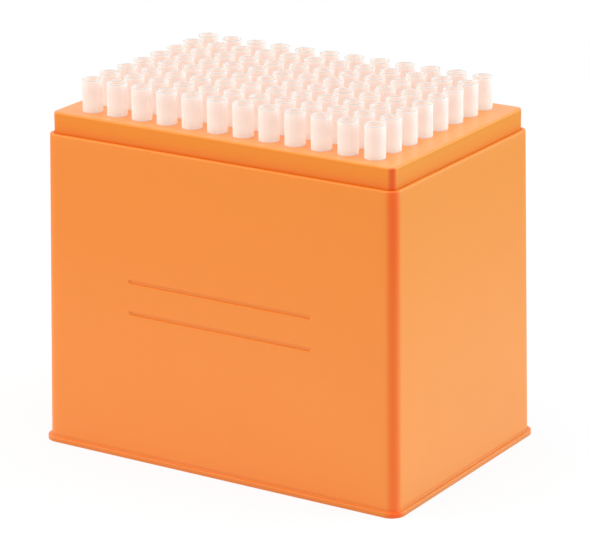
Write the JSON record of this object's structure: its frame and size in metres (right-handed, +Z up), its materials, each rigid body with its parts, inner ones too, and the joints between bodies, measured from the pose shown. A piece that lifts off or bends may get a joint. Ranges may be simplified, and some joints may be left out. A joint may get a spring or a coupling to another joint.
{
  "type": "box of pipette tips",
  "caption": "Open orange box of pipette tips: a moulded base on the standard plate footprint, a stepped rack and a full grid of clear hollow tips hanging in it.",
  "frame": {"origin": "middle of the underside, on the surface that the box stands on", "axes": "+X to the right along the long side, from column 1 to column 12; +Y from the front wall with the writing lines to the back; +Z up"},
  "size_m": [0.1278, 0.0854, 0.1152],
  "materials": {
    "base_plastic": "satin moulded orange polypropylene",
    "rack_plastic": "satin moulded orange polypropylene",
    "tip_plastic": "milky natural polypropylene"
  },
  "bodies": {
    "root": {"box_base": "base_plastic", "tip_rack": "rack_plastic", "tips_column_01": "tip_plastic", "tips_column_02": "tip_plastic", "tips_column_03": "tip_plastic", "tips_column_04": "tip_plastic", "tips_column_05": "tip_plastic", "tips_column_06": "tip_plastic", "tips_column_07": "tip_plastic", "tips_column_08": "tip_plastic", "tips_column_09": "tip_plastic", "tips_column_10": "tip_plastic", "tips_column_11": "tip_plastic", "tips_column_12": "tip_plastic"}
  },
  "joints": []
}
